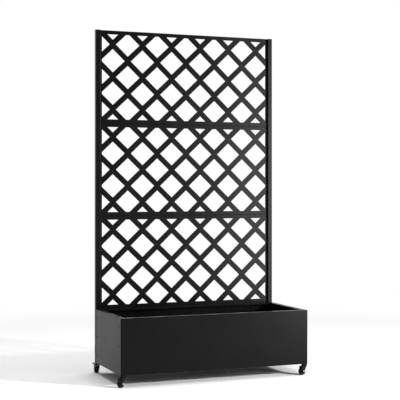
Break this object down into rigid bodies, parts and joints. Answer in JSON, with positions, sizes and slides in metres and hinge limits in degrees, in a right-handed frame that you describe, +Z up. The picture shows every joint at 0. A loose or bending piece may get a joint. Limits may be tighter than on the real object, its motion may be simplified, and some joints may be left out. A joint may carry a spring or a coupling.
{
  "type": "planter with trellis",
  "caption": "Rectangular sheet-steel planter box on swivel casters, with a tall framed diamond-lattice trellis along its back.",
  "frame": {"origin": "on the floor, under the middle of the whole planter, its casters and pedals included", "axes": "+Z up, -Y towards the planter front, the trellis along the +Y side, +X to the right seen from the front"},
  "size_m": [1.0409, 0.505, 1.77],
  "materials": {
    "powder_coat": "satin black powder coat with fine orange peel",
    "caster_enamel": "gloss black enamel on pressed steel",
    "zinc_steel": "bright zinc plating",
    "black_screw": "black coated steel",
    "black_plastic": "moulded, fine grain",
    "wheel_rubber": "matt black tread and hub"
  },
  "bodies": {
    "planter": {"back_panel": "powder_coat", "bottom_panel": "powder_coat", "caster_stem_front_left": "zinc_steel", "caster_stem_front_right": "zinc_steel", "caster_stem_rear_left": "zinc_steel", "caster_stem_rear_right": "zinc_steel", "floor_crossbar_left": "powder_coat", "floor_crossbar_right": "powder_coat", "foot_insert_front_left": "black_plastic", "foot_insert_front_right": "black_plastic", "foot_insert_rear_left": "black_plastic", "foot_insert_rear_right": "black_plastic", "front_panel": "powder_coat", "lattice_panel_lower": "powder_coat", "lattice_panel_middle": "powder_coat", "lattice_panel_upper": "powder_coat", "lattice_screws": "black_screw", "left_corner_post": "powder_coat", "left_post_cap": "black_plastic", "left_rear_post": "powder_coat", "left_side_panel": "powder_coat", "post_bolts": "black_screw", "post_weld_nuts": "zinc_steel", "right_corner_post": "powder_coat", "right_post_cap": "black_plastic", "right_rear_post": "powder_coat", "right_side_panel": "powder_coat", "seam_bolts": "black_screw", "seam_nuts": "zinc_steel", "side_bolts": "black_screw", "side_nuts": "zinc_steel", "swivel_cap_front_left": "caster_enamel", "swivel_cap_front_right": "caster_enamel", "swivel_cap_rear_left": "caster_enamel", "swivel_cap_rear_right": "caster_enamel"},
    "fork_front_left": {"caster_fork_front_left": "caster_enamel", "axle_bolt_front_left": "zinc_steel", "axle_nut_front_left": "zinc_steel"},
    "wheel_front_left": {"caster_wheel_front_left": "wheel_rubber"},
    "fork_front_right": {"caster_fork_front_right": "caster_enamel", "axle_bolt_front_right": "zinc_steel", "axle_nut_front_right": "zinc_steel"},
    "wheel_front_right": {"caster_wheel_front_right": "wheel_rubber"},
    "fork_rear_left": {"caster_fork_rear_left": "caster_enamel", "axle_bolt_rear_left": "zinc_steel", "axle_nut_rear_left": "zinc_steel", "brake_pin_rear_left": "zinc_steel"},
    "wheel_rear_left": {"caster_wheel_rear_left": "wheel_rubber"},
    "brake_rear_left": {"brake_lever_rear_left": "zinc_steel", "brake_pedal_rear_left": "black_plastic"},
    "fork_rear_right": {"caster_fork_rear_right": "caster_enamel", "axle_bolt_rear_right": "zinc_steel", "axle_nut_rear_right": "zinc_steel", "brake_pin_rear_right": "zinc_steel"},
    "wheel_rear_right": {"caster_wheel_rear_right": "wheel_rubber"},
    "brake_rear_right": {"brake_lever_rear_right": "zinc_steel", "brake_pedal_rear_right": "black_plastic"}
  },
  "joints": [
    {"name": "swivel_front_left", "type": "hinge", "parent": "planter", "child": "fork_front_left", "pos_m": [-0.486, -0.223, 0.05], "axis": [0, 0, 1], "continuous": true},
    {"name": "roll_front_left", "type": "hinge", "parent": "fork_front_left", "child": "wheel_front_left", "pos_m": [-0.50011, -0.23418, 0.02], "axis": [0.6211, -0.7837, 0], "continuous": true},
    {"name": "swivel_front_right", "type": "hinge", "parent": "planter", "child": "fork_front_right", "pos_m": [0.486, -0.223, 0.05], "axis": [0, 0, 1], "continuous": true},
    {"name": "roll_front_right", "type": "hinge", "parent": "fork_front_right", "child": "wheel_front_right", "pos_m": [0.46952, -0.23023, 0.02], "axis": [0.4019, -0.9157, 0], "continuous": true},
    {"name": "swivel_rear_left", "type": "hinge", "parent": "planter", "child": "fork_rear_left", "pos_m": [-0.4875, 0.2005, 0.05], "axis": [0, 0, 1], "continuous": true},
    {"name": "roll_rear_left", "type": "hinge", "parent": "fork_rear_left", "child": "wheel_rear_left", "pos_m": [-0.48851, 0.21847, 0.02], "axis": [-0.9984, -0.0558, 0], "continuous": true},
    {"name": "brake_rear_left", "type": "hinge", "parent": "fork_rear_left", "child": "brake_rear_left", "pos_m": [-0.48918, 0.23045, 0.043], "axis": [-0.9984, -0.0558, 0], "range_deg": [0, 18]},
    {"name": "swivel_rear_right", "type": "hinge", "parent": "planter", "child": "fork_rear_right", "pos_m": [0.4875, 0.2005, 0.05], "axis": [0, 0, 1], "continuous": true},
    {"name": "roll_rear_right", "type": "hinge", "parent": "fork_rear_right", "child": "wheel_rear_right", "pos_m": [0.49595, 0.21639, 0.02], "axis": [-0.8829, 0.4695, 0], "continuous": true},
    {"name": "brake_rear_right", "type": "hinge", "parent": "fork_rear_right", "child": "brake_rear_right", "pos_m": [0.50158, 0.22699, 0.043], "axis": [-0.8829, 0.4695, 0], "range_deg": [0, 18]}
  ]
}
